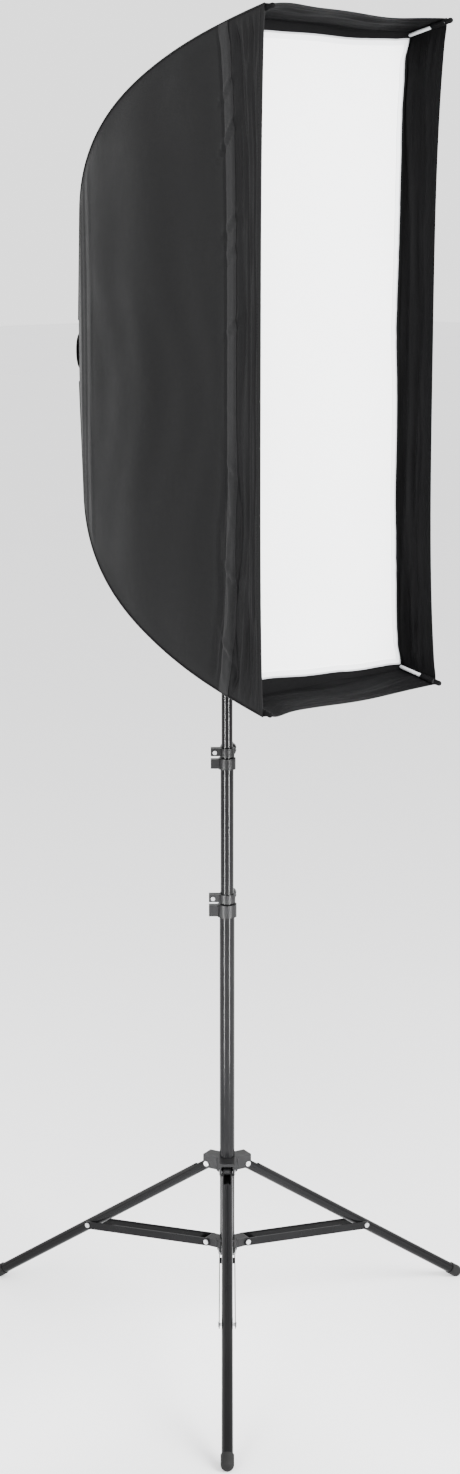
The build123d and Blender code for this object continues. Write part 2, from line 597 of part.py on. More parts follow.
def tripod_parts():
    """Both collars, their rivets, and three legs with braces and foot caps."""
    save("leg_collar", leg_collar())
    save("brace_collar", brace_collar())
    leg_rivet = rivet(*LEG_PIVOT, ARM_GAP / 2 + ARM_WALL)
    save("leg_collar_rivets", Compound(children=around(leg_rivet)))
    lug_rivet = rivet(*BRACE_PIVOT, BRACE_GAP / 2 + BRACE_WALL + 0.2)
    save("brace_collar_rivets", Compound(children=around(lug_rivet)))
    single = {"leg": leg(), "foot_cap": foot_cap(), "brace": brace(), "brace_rivets": brace_rivet()}
    for name, shape in single.items():
        for place, piece in zip(("front", "right", "rear"), around(shape)):
            save(f"{name}_{place}", piece)


FOOTPRINT = Compound(children=around(foot_cap())).bounding_box().center()
os.makedirs("parts", exist_ok=True)
fabric_parts()
frame_parts()
bracket_parts()
column_parts()
tripod_parts()
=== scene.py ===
import json
from math import cos, pi, radians, sin

import bpy
import numpy as np
from mathutils import Euler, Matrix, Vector

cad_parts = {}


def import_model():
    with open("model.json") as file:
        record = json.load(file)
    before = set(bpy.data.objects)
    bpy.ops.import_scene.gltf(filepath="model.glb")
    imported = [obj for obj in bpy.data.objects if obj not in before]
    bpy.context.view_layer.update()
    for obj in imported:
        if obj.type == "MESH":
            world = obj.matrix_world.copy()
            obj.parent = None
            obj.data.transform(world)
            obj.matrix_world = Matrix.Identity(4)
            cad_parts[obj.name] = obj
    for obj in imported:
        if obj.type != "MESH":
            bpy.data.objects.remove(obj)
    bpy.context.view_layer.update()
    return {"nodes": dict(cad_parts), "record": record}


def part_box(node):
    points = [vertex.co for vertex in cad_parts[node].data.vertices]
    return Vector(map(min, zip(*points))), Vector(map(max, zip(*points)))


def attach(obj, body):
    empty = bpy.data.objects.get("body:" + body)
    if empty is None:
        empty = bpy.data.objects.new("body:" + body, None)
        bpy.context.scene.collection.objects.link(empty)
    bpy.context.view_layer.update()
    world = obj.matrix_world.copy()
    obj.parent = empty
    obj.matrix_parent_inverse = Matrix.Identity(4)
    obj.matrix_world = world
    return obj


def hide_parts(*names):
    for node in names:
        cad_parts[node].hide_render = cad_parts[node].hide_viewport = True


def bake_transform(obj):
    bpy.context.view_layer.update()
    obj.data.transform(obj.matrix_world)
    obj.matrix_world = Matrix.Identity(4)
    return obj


# Strip softbox on a three-section light stand. Metres, +Z up, floor at z = 0.
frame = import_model()
MM = 0.001

# ---------------------------------------------------------------- places taken from the frame

LOW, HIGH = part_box("lower_tube")
POLE_X, POLE_Y = (LOW[0] + HIGH[0]) / 2, (LOW[1] + HIGH[1]) / 2
HALF_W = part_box("right_panel")[1][0] - POLE_X
HALF_H = (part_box("top_panel")[1][2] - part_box("bottom_panel")[0][2]) / 2
BOX_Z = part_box("top_panel")[1][2] - HALF_H
FRONT_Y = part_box("left_panel")[0][1]
ORIGIN = np.array([POLE_X, FRONT_Y, BOX_Z])

# The walls' outline as (share of the half size, depth behind the front plane)
PATCH = (0.10, 543.9 * MM)
ELBOW = (0.45, 470.0 * MM)
BEND_REAR = (0.76, 404.6 * MM)
BEND_FRONT = (0.90, 216.0 * MM)
FABRIC = 1.2 * MM
HUB_SHARE = 0.03
SLOT_HALF_WIDTH = 16 * MM
SLOT_HALF_LENGTH = 110 * MM
SLOT_MIDDLE = POLE_Y - FRONT_Y
BAND = (72 * MM, 91 * MM)
BAND_LIFT = 0.9 * MM
HEM_DEPTH = 9 * MM

# Ribs and the recessed front
RIB_INSET = 4.5 * MM
RIB_DEPTH_INSET = 9 * MM
RECESS = 57 * MM
WINDOW_HALF = (149 * MM, 418 * MM)
HEM_HALF = (158 * MM, 427 * MM)
CORE_SHARE = 0.0007          # the diffuser's sectors start this near to its middle

# Columns of cloth along half a ring, which stand slightly closer towards the corner
WALL_COLUMNS = {"side": 88, "end": 38}
FRONT_COLUMNS = {"side": 76, "end": 34}
CROWDING = 0.9

# Folds: seeds of the random draws and how many cross the band
LIP_SEED = {"side": 21, "end": 31}
BAND_SEED = {"side": 11, "end": 5}
BAND_COUNT = {"side": 17, "end": 7}
HELD_BY_RIB = 0.03           # width beside a rib over which the folds die out
BELLY_PULL = 14              # mm that a side wall is drawn in at the back of its lip
HEM_STEP = 0.6 * MM          # how far the hem stands out from the lip

# Sewn trim: half width and half thickness of each bead, then the tape and the stitches
PIPING = (1.5 * MM, 1.1 * MM)
RIB_POCKET = (4.6 * MM, 3.9 * MM)
SLOT_BINDING = (3.2 * MM, 1.3 * MM)
TAPE_THICKNESS = 0.8 * MM
STITCH_PITCH = 4.2 * MM
STITCH_HALF = 0.38 * MM

# A leg's pivot, as distance from the pole's axis and height, and the bush round it
LEG_PIVOT = (29.5 * MM, 269 * MM)
BUSH_RADIUS = 4.4 * MM

CORNERS = {"upper_left": (-1, 1), "upper_right": (1, 1),
           "lower_left": (-1, -1), "lower_right": (1, -1)}
WALLS = {"left": ("side", -1), "right": ("side", 1), "top": ("end", 1), "bottom": ("end", -1)}
UP_DOWN = {1: "upper", -1: "lower"}
RIGHT_LEFT = {1: "right", -1: "left"}


# ---------------------------------------------------------------- materials

class Shader:
    """A node material built round one Principled shader."""

    def __init__(self, name, **inputs):
        self.material = bpy.data.materials.new(name)
        self.material.use_nodes = True
        self.nodes = self.material.node_tree.nodes
        self.shader = self.nodes["Principled BSDF"]
        for key, value in inputs.items():
            self.shader.inputs[key.replace("_", " ")].default_value = value

    def link(self, source, target):
        self.material.node_tree.links.new(source, target)

    def node(self, kind, settings=None, **inputs):
        node = self.nodes.new("ShaderNode" + kind)
        for key, value in (settings or {}).items():
            setattr(node, key, value)
        for key, value in inputs.items():
            place = int(key[1:]) if key[1:].isdigit() else key.replace("_", " ")
            socket = node.inputs[place]
            if isinstance(value, bpy.types.NodeSocket):
                self.link(value, socket)
            else:
                socket.default_value = value
        return node

    def place(self):
        return self.node("TexCoord").outputs["Object"]

    def cloth_place(self):
        """Distances along the cloth, in metres, that move with it."""
        return self.node("UVMap").outputs["UV"]

    def noise(self, scale, detail=3.0, roughness=0.5, vector=None, distortion=0.0):
        node = self.node("TexNoise", Vector=vector or self.place(), Scale=scale, Detail=detail,
                         Roughness=roughness, Distortion=distortion)
        return node.outputs[0]

    def math(self, operation, a, b=0.0):
        return self.node("Math", {"operation": operation}, _0=a, _1=b).outputs[0]

    def remap(self, value, low, high, new_low, new_high):
        node = self.node("MapRange", Value=value, From_Min=low, From_Max=high,
                         To_Min=new_low, To_Max=new_high)
        return node.outputs[0]

    def mix(self, factor, first, second):
        node = self.node("Mix", {"data_type": "RGBA"})
        self.link(factor, node.inputs[0])
        for socket, value in ((node.inputs[6], first), (node.inputs[7], second)):
            if isinstance(value, bpy.types.NodeSocket):
                self.link(value, socket)
            else:
                socket.default_value = (*value, 1)
        return node.outputs[2]

    def colour(self, socket):
        self.link(socket, self.shader.inputs["Base Color"])

    def rough(self, socket):
        self.link(socket, self.shader.inputs["Roughness"])

    def bump(self, *layers):
        """Bumps as (height socket, strength, distance in metres), one over the other."""
        normal = None
        for height, strength, distance in layers:
            node = self.node("Bump", Height=height, Strength=strength, Distance=distance)
            if normal:
                self.link(normal, node.inputs["Normal"])
            normal = node.outputs["Normal"]
        self.link(normal, self.shader.inputs["Normal"])

    def weave(self, pitch):
        """A plain weave's height: threads over and under each other."""
        split = self.node("SeparateXYZ", Vector=self.cloth_place())
        turn = 2 * pi / pitch
        warp = self.math("SINE", self.math("MULTIPLY", split.outputs[0], turn))
        weft = self.math("SINE", self.math("MULTIPLY", split.outputs[1], turn))
        return self.math("MULTIPLY", warp, weft)


def cloth(name, dark, light, pitch, roughness, weave_bump=0.25, crease_bump=0.12, **inputs):
    """Woven cloth: two tones, uneven roughness, a weave and small creases."""
    s = Shader(name, **inputs)
    uneven = s.noise(9, 4, vector=s.cloth_place())
    threads = s.noise(420, 2, vector=s.cloth_place())
    s.colour(s.mix(s.remap(s.math("ADD", uneven, threads), 0.7, 1.3, 0, 1), dark, light))
    s.rough(s.remap(uneven, 0.3, 0.7, roughness - 0.05, roughness + 0.06))
    creases = s.noise(34, 5, 0.55, vector=s.cloth_place(), distortion=0.6)
    s.bump((creases, crease_bump, 0.004), (s.weave(pitch), weave_bump, 0.0002))
    return s.material


def solid(name, dark, light, roughness, grain_scale, grain_bump, **inputs):
    """Paint, moulded plastic or rubber: two close tones, uneven gloss, and a grain."""
    s = Shader(name, **inputs)
    broad = s.noise(14, 4)
    s.colour(s.mix(s.remap(broad, 0.3, 0.7, 0, 1), dark, light))
    smudge = s.noise(55, 5, 0.6, distortion=0.4)
    s.rough(s.remap(smudge, 0.3, 0.75, roughness - 0.04, roughness + 0.08))
    s.bump((s.noise(grain_scale, 2), grain_bump, 0.0003))
    return s.material


def metal(name, dark, light, roughness, stretch):
    """Bright metal with fine drawn or turned lines and duller patches."""
    s = Shader(name, Metallic=1.0)
    lined = s.node("Mapping", Vector=s.place())
    lined.inputs["Scale"].default_value = stretch
    lines = s.noise(60, 4, 0.7, vector=lined.outputs[0])
    s.colour(s.mix(s.remap(lines, 0.3, 0.7, 0, 1), dark, light))
    s.rough(s.remap(s.noise(40, 4), 0.3, 0.7, roughness - 0.06, roughness + 0.1))
    s.bump((lines, 0.08, 0.0002))
    return s.material


NYLON = cloth("nylon_outer", (0.0033, 0.0033, 0.0035), (0.0052, 0.0052, 0.0055), 0.7 * MM, 0.5,
              Sheen_Weight=0.002, Sheen_Roughness=0.4, Sheen_Tint=(0.9, 0.9, 0.92, 1),
              Specular_IOR_Level=0.07)
LIP = cloth("nylon_lip", (0.0030, 0.0030, 0.0032), (0.0048, 0.0048, 0.0050), 0.7 * MM, 0.6,
            Sheen_Weight=0.003, Sheen_Roughness=0.4, Specular_IOR_Level=0.02)
SILVER = cloth("silver_lining", (0.52, 0.53, 0.55), (0.66, 0.67, 0.69), 2.4 * MM, 0.36, 0.6, 0.2,
               Metallic=0.85)
TAPE = cloth("seam_tape", (0.0070, 0.0070, 0.0073), (0.0100, 0.0100, 0.0104), 1.1 * MM, 0.6, 0.6,
             Sheen_Weight=0.02, Sheen_Roughness=0.5, Specular_IOR_Level=0.12)
WHITE = cloth("white_diffuser", (0.90, 0.905, 0.91), (0.93, 0.935, 0.94), 0.6 * MM, 0.75, 0.15, 0.10,
              Sheen_Weight=0.1, Sheen_Roughness=0.5)
HEM = cloth("grey_hem", (0.36, 0.365, 0.38), (0.46, 0.465, 0.48), 0.9 * MM, 0.75, 0.5)
# The hem is doubled white cloth. Its tone is set a little darker than the diffuser's, as painted shade where
# the lip shades the recessed front's edge.
HEM_WHITE_PAINTED_SHADE = cloth("white_hem_painted_shade", (0.80, 0.81, 0.83), (0.86, 0.87, 0.88), 0.9 * MM, 0.75, 0.5)
THREAD = cloth("sewing_thread", (0.010, 0.010, 0.0105), (0.018, 0.018, 0.0185), 0.5 * MM, 0.6, 0.4,
               Specular_IOR_Level=0.1)
PAINT = solid("black_paint", (0.0026, 0.0026, 0.0028), (0.0040, 0.0040, 0.0042), 0.12, 900, 0.02,
              Specular_IOR_Level=0.10)
PLASTIC = solid("moulded_nylon", (0.0042, 0.0042, 0.0044), (0.0075, 0.0075, 0.0078), 0.38, 1500, 0.25,
                Specular_IOR_Level=0.10)
RUBBER = solid("rubber", (0.0065, 0.0065, 0.0065), (0.011, 0.011, 0.0108), 0.66, 700, 0.35,
               Specular_IOR_Level=0.12)
ZINC = metal("zinc", (0.38, 0.38, 0.39), (0.52, 0.52, 0.53), 0.34, (4, 4, 40))
ROD = solid("grey_glass_fibre", (0.42, 0.43, 0.44), (0.56, 0.57, 0.58), 0.38, 1100, 0.10)
STEEL = metal("steel_rod", (0.45, 0.46, 0.48), (0.60, 0.61, 0.63), 0.28, (4, 40, 4))
SLOT_MATERIAL = {"black_nylon": NYLON, "seam_tape": TAPE, "white_diffuser": WHITE, "grey_hem": HEM,
                 "black_paint": PAINT, "black_casting": PLASTIC, "rubber": RUBBER, "zinc": ZINC,
                 "steel_rod": STEEL}
for part in frame["record"]["subparts"]:
    node_object = frame["nodes"][part["node"]]
    node_object.data.materials.clear()
    material = SLOT_MATERIAL[part["material_slot"]]
    if part["node"].startswith("rib_"):
        material = LIP if "tip" in part["node"] else ROD
    node_object.data.materials.append(material)


# ---------------------------------------------------------------- the shape of the walls

def bezier(parameter):
    """The bowed stretch of the outline, 0 at the front and 1 at the elbow."""
    points = ((1.0, 0.0), BEND_FRONT, BEND_REAR, ELBOW)
    weights = ((1 - parameter) ** 3, 3 * parameter * (1 - parameter) ** 2,
               3 * parameter ** 2 * (1 - parameter), parameter ** 3)
    share = sum(w * p[0] for w, p in zip(weights, points))
    depth = sum(w * p[1] for w, p in zip(weights, points))
    return share, depth


def outline(q):
    """(share, depth) at q: 0 to 1 bowed, 1 to 2 straight to the patch, 2 to 3 the flat patch."""
    share, depth = bezier(np.clip(q, -0.05, 1))
    straight, flat = np.clip(q - 1, 0, 1), np.clip(q - 2, 0, 1)
    share = share + straight * (PATCH[0] - ELBOW[0]) - flat * PATCH[0]
    depth = depth + straight * (PATCH[1] - ELBOW[1])
    return share, depth


DENSE = np.linspace(0, 1, 2001)
DENSE_DEPTH = bezier(DENSE)[1]


def at_depth(depth):
    """q where the bowed stretch is that deep."""
    return np.interp(depth, DENSE_DEPTH, DENSE)


def smooth(x):
    x = np.clip(x, 0, 1)
    return x * x * (3 - 2 * x)


def ridge(x, middle, width):
    return np.exp(-((x - middle) / width) ** 2)


def wave(x, length, phase=0.0):
    return np.sin(2 * pi * (x / length + phase))


# Folds that slant over the side walls' band, as place up the wall, slope and height. The hollow
# is below the crest on the left wall and above it on the right one.
BAND_FOLDS = ((0.356, -1.1, 1.8 * MM), (0.301, -1.3, 2.6 * MM), (0.186, -0.9, 1.9 * MM),
              (0.148, -0.5, 1.5 * MM), (0.054, -0.8, 1.5 * MM), (-0.13, 0.7, 1.1 * MM),
              (-0.27, 0.9, 1.4 * MM), (-0.37, 1.1, 1.6 * MM))


def fold(a, depth, place, slope, size, middle=80 * MM):
    """One short fold over the band: a crest with a hollow beside it."""
    line = (a - place) - slope * (depth - middle)
    crest = np.exp(-(line / (6 * MM)) ** 2) - 0.8 * np.exp(-((line + 10 * MM) / (5 * MM)) ** 2)
    return size * crest * np.exp(-((depth - middle) / (17 * MM)) ** 2)


def band_folds(a, depth, seed, count, reach):
    """Small slanting folds all along the band, in metres outward."""
    random = np.random.RandomState(seed)
    height = np.zeros_like(a)
    for k in range(count):
        place = reach * (-0.94 + 1.88 * (k + random.uniform(0.1, 0.9)) / count)
        slope = random.choice((-1, 1)) * random.uniform(0.4, 1.2)
        size = random.uniform(0.2, 0.55) * MM * random.choice((-1, 1))
        height += fold(a, depth, place, slope, size, random.uniform(66, 92) * MM)
    return height


def lip_folds(a, depth, u, seed):
    """Long folds along the lip that gather towards its corners."""
    random = np.random.RandomState(seed)
    near_corner = np.abs(u) ** 2.5
    swell = 0.75 + 0.25 * wave(a, 0.23, 0.1)
    height = -4.5 * MM * ridge(depth, 0.060 + 0.003 * wave(a, 0.31, 0.5), 6 * MM) * swell
    height -= 2.8 * MM * ridge(depth, 0.040 + 0.017 * np.abs(u) ** 1.4 + 0.002 * wave(a, 0.33, 0.2), 3.4 * MM)
    height += 1.9 * MM * ridge(depth, 0.029 + 0.014 * np.abs(u) ** 1.4 + 0.003 * wave(a, 0.27, 0.6), 5 * MM)
    height -= 2.2 * MM * ridge(depth, 0.016 + 0.012 * near_corner + 0.002 * wave(a, 0.19, 0.4), 2.8 * MM)
    for k in range(7):
        start = random.uniform(0.012, 0.062)
        drift = 0.002 * wave(a, random.uniform(0.15, 0.4), start * 40)
        place = start + (0.060 - start) * 0.5 * near_corner + drift
        along = ridge(u, random.uniform(-0.9, 0.9), random.uniform(0.12, 0.4))
        height += random.uniform(-2.2, 1.4) * MM * along * ridge(depth, place, random.uniform(2, 4) * MM)
    height += near_corner * 0.9 * MM * wave(depth + 0.004 * wave(a, 0.2, 0.1), 0.0115, 0.3)
    return height * smooth((BAND[0] - depth) / 0.006) * smooth((depth - 0.003) / 0.010)


def gathers(a, depth, u):
    """Deep folds over the lower part of the band, where the loose cloth of the lip gathers."""
    low = smooth((-u - 0.12) / 0.35) * smooth((1 + u) / 0.07)
    spread = np.clip(-u - 0.2, 0, 1)
    height = -5.0 * MM * ridge(depth, 0.068 - 0.004 * wave(a, 0.21, 0.3), 4.5 * MM)
    height += 2.4 * MM * ridge(depth, 0.057 - 0.012 * spread + 0.003 * wave(a, 0.26, 0.1), 4.5 * MM)
    height -= 3.2 * MM * ridge(depth, 0.094 + 0.012 * spread + 0.003 * wave(a, 0.17, 0.6), 4.5 * MM)
    height += 1.6 * MM * ridge(depth, 0.083 + 0.004 * wave(a, 0.13, 0.2), 4 * MM)
    height -= 2.6 * MM * ridge(depth, 0.047 - 0.020 * spread, 3.5 * MM)
    return height * low


def seams(depth):
    """Hollows along both edges of the band."""
    return -1.5 * MM * (ridge(depth, BAND[0], 2.6 * MM) + ridge(depth, BAND[1], 2.6 * MM))


def open_panel(depth):
    """1 over the open panel, and down to 0 at the band and just before the elbow."""
    return smooth((depth - BAND[1]) / 0.03) * smooth((0.46 - depth) / 0.06)


def side_relief(sign, a, depth, u):
    """Outward relief of a side wall, and how far it is pulled in and back."""
    height = 0.8 * MM * wave(depth + 0.02 * wave(a, 0.74, 0.1), 0.135, 0.15)
    swell = 0.5 + 0.5 * wave(a, 0.6, 0.3)
    height += 0.5 * MM * wave(depth + 0.03 * wave(a, 0.43, 0.35), 0.074, 0.4) * swell
    height -= 1.2 * MM * ridge(depth + 0.25 * (a - 0.12) ** 2, 0.118 + 0.03 * sign, 8 * MM)
    height *= open_panel(depth)
    for where, size in ((0.455, 1.6), (0.434, -1.4), (0.415, 1.1)):
        height += size * MM * ridge(depth + 0.005 * wave(a, 0.5, 0.2), where, 5 * MM)
    height += lip_folds(a, depth, u, LIP_SEED["side"] + sign) + seams(depth)
    height += (band_folds(a, depth, BAND_SEED["side"] + sign, BAND_COUNT["side"], HALF_H)
               + gathers(a, depth, u))
    for place, slope, size in BAND_FOLDS:
        height += fold(a * -sign, depth, place * -sign, slope * -sign, size)
    sag = 1 - np.abs(u) ** 3.5
    front_pull = 6.5 if sign < 0 else 4.0
    pull_in = (front_pull + (BELLY_PULL - front_pull) * smooth(depth / 0.06)) * MM * sag
    pull_in = pull_in * smooth((0.30 - depth) / 0.20)
    pull_back = 12 * MM * sag * smooth((0.05 - depth) / 0.05)
    return height, pull_in, pull_back


def end_relief(sign, a, depth, u):
    """Outward relief of a top or bottom wall, and how far it is pulled in and back."""
    height = 0.8 * MM * wave(depth + 0.012 * wave(a, 0.3, 0.2), 0.105, 0.3 + 0.2 * sign)
    height *= open_panel(depth)
    height += 0.7 * lip_folds(a, depth, u, LIP_SEED["end"] + sign) + seams(depth)
    height += band_folds(a, depth, BAND_SEED["end"] + sign, BAND_COUNT["end"], HALF_W)
    near = smooth((0.10 - depth) / 0.10)
    if sign > 0:
        height += near * MM * (3.0 * ridge(u, -0.72, 0.2) - 5.0 * ridge(u, 0.35, 0.38))
    else:
        height += near * MM * (4.0 * ridge(u, -0.85, 0.13) + 4.4 * ridge(u, 0.15, 0.5))
    sag = (1 - u ** 2) * near
    return height, 0 * sag, 2 * MM * sag


def slack(up, depth):
    """How far the rear half of the cloth stays inside the ribs' own curve."""
    return (4.5 * smooth(-up / 0.25) + 2.2 * smooth(up / 0.25)) * MM * smooth((depth - 0.12) / 0.15)


def wall(kind, sign, a, q, lift=0.0):
    """Points of a wall's outer face at a, the distance along its ring, and q along its outline."""
    share, depth = outline(q)
    step = 1e-4
    ahead, behind = outline(q + step), outline(q - step)
    half, other = (HALF_W, HALF_H) if kind == "side" else (HALF_H, HALF_W)
    out = ahead[1] - behind[1]
    back = -(ahead[0] - behind[0]) * half
    size = np.hypot(out, back)
    out, back = out / size, back / size
    u = np.clip(a / (share * other), -1, 1)
    relief = side_relief if kind == "side" else end_relief
    height, pull_in, pull_back = relief(sign, a, depth, u)
    held = smooth((1 - np.abs(u)) * share * other / HELD_BY_RIB) * smooth((2.0 - q) / 0.3)
    height, pull_in, pull_back = height * held, pull_in * held, pull_back * held
    height = height + lift + HEM_STEP * smooth((HEM_DEPTH - depth) / MM)
    across = sign * (half * share + out * height - pull_in)
    up = a if kind == "side" else across
    y = depth + back * height + pull_back - slack(up, depth)
    if kind == "side":
        return np.stack([across, y, a], -1) + ORIGIN
    return np.stack([a, y, across], -1) + ORIGIN


def wall_normals(kind, sign, a, q, lift):
    """Outward unit normals of the same points."""
    da, dq = 2e-4, 5e-4
    along = wall(kind, sign, a + da, q, lift) - wall(kind, sign, a - da, q, lift)
    down = wall(kind, sign, a, q + dq, lift) - wall(kind, sign, a, q - dq, lift)
    normal = np.cross(along, down)
    normal /= np.linalg.norm(normal, axis=-1, keepdims=True)
    inside = ORIGIN + (0, 0.25, 0)
    from_inside = wall(kind, sign, a, q, lift) - inside
    return normal * np.sign((normal * from_inside).sum(-1).mean())


def shrink(points, thickness):
    """The inner face: the outer one drawn in towards the middle of the front plane."""
    reach = np.array([HALF_W, PATCH[1], HALF_H])
    return ORIGIN + (points - ORIGIN) * (1 - thickness / reach)


# ---------------------------------------------------------------- meshes

def new_object(name, vertices, faces, materials, indices=None):
    mesh = bpy.data.meshes.new(name)
    mesh.from_pydata([tuple(v) for v in vertices], [], [tuple(int(i) for i in f) for f in faces])
    for material in materials:
        mesh.materials.append(material)
    if indices is not None:
        mesh.polygons.foreach_set("material_index", np.asarray(indices, dtype=np.int32))
    mesh.polygons.foreach_set("use_smooth", [True] * len(mesh.polygons))
    mesh.update()
    piece = bpy.data.objects.new(name, mesh)
    bpy.context.scene.collection.objects.link(piece)
    return piece


def grid_faces(rows, columns, offset=0):
    i, j = np.meshgrid(np.arange(rows - 1), np.arange(columns - 1), indexing="ij")
    corner = (i * columns + j).ravel() + offset
    return np.stack([corner, corner + 1, corner + columns + 1, corner + columns], 1)


def shell(name, outer, inner, normals, coordinates, materials, inner_index, outer_index=None):
    """A closed sheet between two grids of points, with the outer grid's true normals."""
    rows, columns = outer.shape[:2]
    count = rows * columns
    top = grid_faces(rows, columns)
    bottom = grid_faces(rows, columns, count)[:, ::-1]
    edge = ([k for k in range(columns)] + [k * columns + columns - 1 for k in range(1, rows)]
            + [(rows - 1) * columns + k for k in range(columns - 2, -1, -1)]
            + [k * columns for k in range(rows - 2, -1, -1)])
    rim = np.array([(b, a, a + count, b + count) for a, b in zip(edge, edge[1:])])
    faces = np.concatenate([top, bottom, rim])
    points = np.concatenate([outer.reshape(-1, 3), inner.reshape(-1, 3)])
    first = np.cross(points[top[:, 1]] - points[top[:, 0]], points[top[:, 2]] - points[top[:, 0]])
    if (first * normals.reshape(-1, 3)[top[:, 0]]).sum() < 0:
        faces = faces[:, ::-1]
    flat = np.cross(points[faces[:, 2]] - points[faces[:, 0]], points[faces[:, 3]] - points[faces[:, 1]])
    flat /= np.linalg.norm(flat, axis=1, keepdims=True) + 1e-12
    vertex_normals = np.concatenate([normals.reshape(-1, 3), -normals.reshape(-1, 3)])
    loops = vertex_normals[faces]
    loops[len(top) + len(bottom):] = flat[len(top) + len(bottom):, None, :]
    inner_faces = inner_index.reshape(-1)[top[:, 0]]
    outer_faces = np.zeros(len(top)) if outer_index is None else outer_index.reshape(-1)[top[:, 0]]
    indices = np.concatenate([outer_faces, inner_faces, np.zeros(len(rim))])
    piece = new_object(name, points, faces, materials, indices)
    layer = piece.data.uv_layers.new(name="UVMap")
    both = np.concatenate([coordinates.reshape(-1, 2)] * 2)
    layer.data.foreach_set("uv", both[faces].reshape(-1))
    piece.data.normals_split_custom_set(loops.reshape(-1, 3).tolist())
    return piece


def slot_edge(depth):
    """Half width of the slot in the bottom wall at a depth."""
    straight = SLOT_HALF_LENGTH - SLOT_HALF_WIDTH
    past = np.maximum(np.abs(depth - SLOT_MIDDLE) - straight, 0)
    return np.sqrt(np.maximum(SLOT_HALF_WIDTH ** 2 - past ** 2, 0))


def slot_depths():
    """Depths that follow the slot's round ends."""
    turns = np.linspace(0, pi / 2, 7)
    ends = SLOT_HALF_LENGTH - SLOT_HALF_WIDTH + SLOT_HALF_WIDTH * np.sin(turns)
    return np.concatenate([SLOT_MIDDLE - ends, SLOT_MIDDLE + ends])


def stations():
    """q of the walls' rows: close together at the lip, the band, the slot's ends and the creases."""
    depths = [0, 0.8 * MM, 4 * MM, 7.6 * MM, 8.4 * MM, 9.2 * MM]
    depths += list(np.arange(12, 100, 3.2) * MM)
    depths += list(np.arange(106, 420, 7.5) * MM)
    depths += list(np.arange(420, 470, 3.4) * MM)
    depths += list(slot_depths())
    depths = np.array(sorted(depths))
    keep = np.concatenate([[True], np.diff(depths) > 0.3 * MM])
    bowed = at_depth(depths[keep])
    return np.concatenate([bowed, [1.0], 1 + np.linspace(0.06, 1, 15), [2.3, 3 - HUB_SHARE / PATCH[0]]])


ROWS = stations()


def arc(kind, q):
    """Distance along the outline at each q."""
    fine = np.linspace(0, 3, 6001)
    share, depth = outline(fine)
    half = HALF_W if kind == "side" else HALF_H
    length = np.concatenate([[0], np.cumsum(np.hypot(np.diff(share) * half, np.diff(depth)))])
    return np.interp(q, fine, length)


def strip(name, kind, sign, hand, q, columns, start, end, lift, thickness, materials, lining_from=None):
    """Part of a wall, from start to end along its ring, as a closed sheet. start and end are
    distances from the wall's middle, one for each q, and hand says which half they are on."""
    share = np.linspace(0, 1, columns) ** CROWDING
    a = hand * (start[:, None] + (end - start)[:, None] * share[None, :])
    q_grid = np.repeat(q[:, None], columns, 1)
    outer = wall(kind, sign, a, q_grid, lift)
    normals = wall_normals(kind, sign, a, q_grid, lift)
    inner = shrink(outer, thickness)
    coordinates = np.stack([a, np.repeat(arc(kind, q)[:, None], columns, 1)], -1)
    index = np.zeros_like(a)
    if lining_from is not None:
        index = np.where(outline(q_grid)[1] > lining_from, 1.0, 2.0)
    return shell(name, outer, inner, normals, coordinates, materials, index)


def bend_with_corner(piece):
    """Bakes the piece's placement into its points."""
    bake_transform(piece)


def halves():
    """Each wall's two halves as (wall's name, half's name, kind, sign, hand)."""
    for name, (kind, sign) in WALLS.items():
        names = UP_DOWN if kind == "side" else RIGHT_LEFT
        for hand in (1, -1):
            yield name, f"{name}_{names[hand]}", kind, sign, hand


# ---------------------------------------------------------------- the walls and their trim

def wall_pieces():
    """Eight half walls: black outside and on the lip's inner face, silver behind the diffuser."""
    share = outline(ROWS)[0]
    for name, half_name, kind, sign, hand in halves():
        reach = HALF_H if kind == "side" else HALF_W
        start = slot_edge(outline(ROWS)[1]) if name == "bottom" else np.zeros_like(ROWS)
        piece = strip(f"wall_{half_name}", kind, sign, hand, ROWS, WALL_COLUMNS[kind], start, share * reach,
                      0.0, FABRIC, [NYLON, SILVER, LIP], lining_from=RECESS)
        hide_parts(f"{name}_panel")
        bend_with_corner(piece)


def band_pieces():
    """The sewn band round the walls where the diffuser is fixed."""
    middle = np.linspace(BAND[0] + 3 * MM, BAND[1] - 3 * MM, 6)
    q = at_depth(np.concatenate([[BAND[0], BAND[0] + 0.7 * MM], middle, [BAND[1] - 0.7 * MM, BAND[1]]]))
    share = outline(q)[0]
    for _, half_name, kind, sign, hand in halves():
        reach = HALF_H if kind == "side" else HALF_W
        piece = strip(f"seam_band_{half_name}", kind, sign, hand, q, WALL_COLUMNS[kind],
                      np.zeros_like(q), share * reach, BAND_LIFT, TAPE_THICKNESS, [TAPE])
        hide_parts("seam_band")
        bend_with_corner(piece)


wall_pieces()
band_pieces()


# ---------------------------------------------------------------- the recessed front

def front_depth(x, z):
    """Depth of the diffuser's cloth: stretched, with slight pulls towards its corners."""
    across, up = x / WINDOW_HALF[0], z / WINDOW_HALF[1]
    belly = 2.5 * MM * (1 - np.clip(across, -1, 1) ** 2) * (1 - np.clip(up, -1, 1) ** 2)
    corner = smooth((np.abs(across) * np.abs(up) - 0.45) / 0.55)
    angle = np.arctan2(np.abs(z) - HEM_HALF[1], np.abs(x) - HEM_HALF[0])
    pulls = 0.8 * MM * corner * np.sin(9 * angle)
    edge = smooth((0.97 - np.maximum(np.abs(across), np.abs(up))) / 0.05)
    ripple = 0.35 * MM * wave(z + 0.02 * wave(x, 0.2), 0.13) * edge
    return RECESS - belly + pulls * edge + ripple


